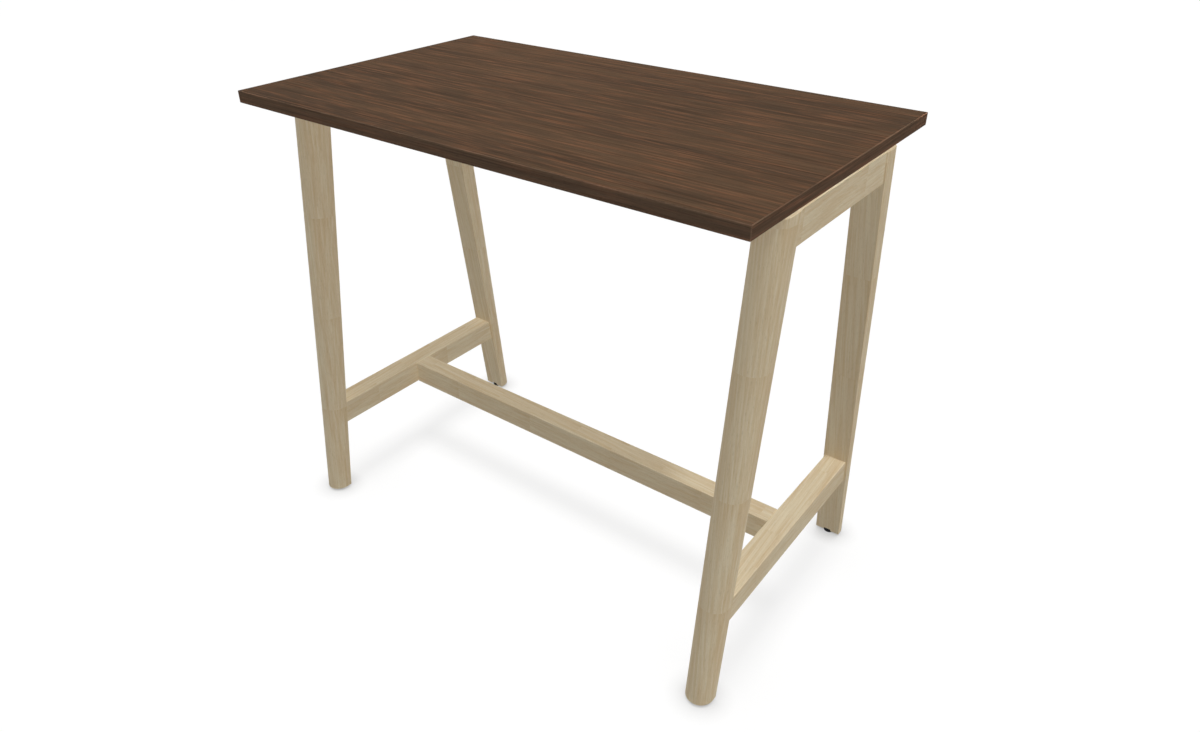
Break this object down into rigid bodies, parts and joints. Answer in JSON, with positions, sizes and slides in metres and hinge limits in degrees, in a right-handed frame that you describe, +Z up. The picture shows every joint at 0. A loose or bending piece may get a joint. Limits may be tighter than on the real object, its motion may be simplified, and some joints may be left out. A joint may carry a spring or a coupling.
{
  "type": "standing meeting table",
  "caption": "Standing-height meeting table: dark walnut-decor top floating on a pale ash frame of splayed half-round legs, low rails and a stretcher, with levelling glides.",
  "frame": {"origin": "on the floor, under the middle of the top", "axes": "+X along the long side of the top, +Y across it from the front to the rear, +Z up"},
  "size_m": [1.2, 0.7, 1.05],
  "materials": {
    "walnut_decor": "satin walnut decor laminate",
    "walnut_edging": "satin walnut-printed edging",
    "oiled_ash": "matt oiled solid ash",
    "plain_beech": "planed, unfinished beech",
    "black_steel": "fine-textured black powder coat",
    "zinc_steel": "zinc-plated",
    "brass": "plain turned brass",
    "black_nylon": "moulded nylon"
  },
  "bodies": {
    "table": {"top_board": "walnut_decor", "edge_band_front": "walnut_edging", "edge_band_rear": "walnut_edging", "edge_band_left": "walnut_edging", "edge_band_right": "walnut_edging", "leg_front_left": "oiled_ash", "leg_front_right": "oiled_ash", "leg_rear_left": "oiled_ash", "leg_rear_right": "oiled_ash", "top_rail_left": "oiled_ash", "top_rail_right": "oiled_ash", "foot_rail_left": "oiled_ash", "foot_rail_right": "oiled_ash", "stretcher": "oiled_ash", "beam_front": "black_steel", "beam_rear": "black_steel", "top_tenon_front_left": "plain_beech", "top_tenon_front_right": "plain_beech", "top_tenon_rear_left": "plain_beech", "top_tenon_rear_right": "plain_beech", "foot_tenon_front_left": "plain_beech", "foot_tenon_front_right": "plain_beech", "foot_tenon_rear_left": "plain_beech", "foot_tenon_rear_right": "plain_beech", "locating_dowel_left": "plain_beech", "locating_dowel_right": "plain_beech", "hanger_bolt_left": "zinc_steel", "hanger_bolt_right": "zinc_steel", "plate_washer_left": "zinc_steel", "plate_washer_right": "zinc_steel", "hex_nut_left": "zinc_steel", "hex_nut_right": "zinc_steel", "coach_screw_front_left_1": "zinc_steel", "coach_screw_front_left_2": "zinc_steel", "coach_screw_front_right_1": "zinc_steel", "coach_screw_front_right_2": "zinc_steel", "coach_screw_rear_left_1": "zinc_steel", "coach_screw_rear_left_2": "zinc_steel", "coach_screw_rear_right_1": "zinc_steel", "coach_screw_rear_right_2": "zinc_steel", "top_screw_front_1": "zinc_steel", "top_screw_front_2": "zinc_steel", "top_screw_front_3": "zinc_steel", "top_screw_rear_1": "zinc_steel", "top_screw_rear_2": "zinc_steel", "top_screw_rear_3": "zinc_steel", "glide_insert_front_left": "brass", "glide_insert_front_right": "brass", "glide_insert_rear_left": "brass", "glide_insert_rear_right": "brass"},
    "glide_pad_front_left": {"glide_pad_front_left": "black_nylon"},
    "glide_pad_front_right": {"glide_pad_front_right": "black_nylon"},
    "glide_pad_rear_left": {"glide_pad_rear_left": "black_nylon"},
    "glide_pad_rear_right": {"glide_pad_rear_right": "black_nylon"},
    "glide_stud_front_left": {"glide_stud_front_left": "zinc_steel"},
    "glide_stud_front_right": {"glide_stud_front_right": "zinc_steel"},
    "glide_stud_rear_left": {"glide_stud_rear_left": "zinc_steel"},
    "glide_stud_rear_right": {"glide_stud_rear_right": "zinc_steel"}
  },
  "joints": [
    {"name": "glide_travel_front_left", "type": "slide", "parent": "table", "child": "glide_pad_front_left", "axis": [0, 0, -1], "range_m": [0, 0.01]},
    {"name": "glide_travel_front_right", "type": "slide", "parent": "table", "child": "glide_pad_front_right", "axis": [0, 0, -1], "range_m": [0, 0.01]},
    {"name": "glide_travel_rear_left", "type": "slide", "parent": "table", "child": "glide_pad_rear_left", "axis": [0, 0, -1], "range_m": [0, 0.01]},
    {"name": "glide_travel_rear_right", "type": "slide", "parent": "table", "child": "glide_pad_rear_right", "axis": [0, 0, -1], "range_m": [0, 0.01]},
    {"name": "glide_turn_front_left", "type": "hinge", "parent": "glide_pad_front_left", "child": "glide_stud_front_left", "pos_m": [-0.566, -0.3115, 0], "axis": [0, 0, -1], "range_deg": [0, 2880]},
    {"name": "glide_turn_front_right", "type": "hinge", "parent": "glide_pad_front_right", "child": "glide_stud_front_right", "pos_m": [0.566, -0.3115, 0], "axis": [0, 0, -1], "range_deg": [0, 2880]},
    {"name": "glide_turn_rear_left", "type": "hinge", "parent": "glide_pad_rear_left", "child": "glide_stud_rear_left", "pos_m": [-0.566, 0.3115, 0], "axis": [0, 0, -1], "range_deg": [0, 2880]},
    {"name": "glide_turn_rear_right", "type": "hinge", "parent": "glide_pad_rear_right", "child": "glide_stud_rear_right", "pos_m": [0.566, 0.3115, 0], "axis": [0, 0, -1], "range_deg": [0, 2880]}
  ],
  "couplings": [
    {"joint": "glide_travel_front_left", "follows": "glide_turn_front_left", "m_per_rad": 0.00019894},
    {"joint": "glide_travel_front_right", "follows": "glide_turn_front_right", "m_per_rad": 0.00019894},
    {"joint": "glide_travel_rear_left", "follows": "glide_turn_rear_left", "m_per_rad": 0.00019894},
    {"joint": "glide_travel_rear_right", "follows": "glide_turn_rear_right", "m_per_rad": 0.00019894}
  ]
}
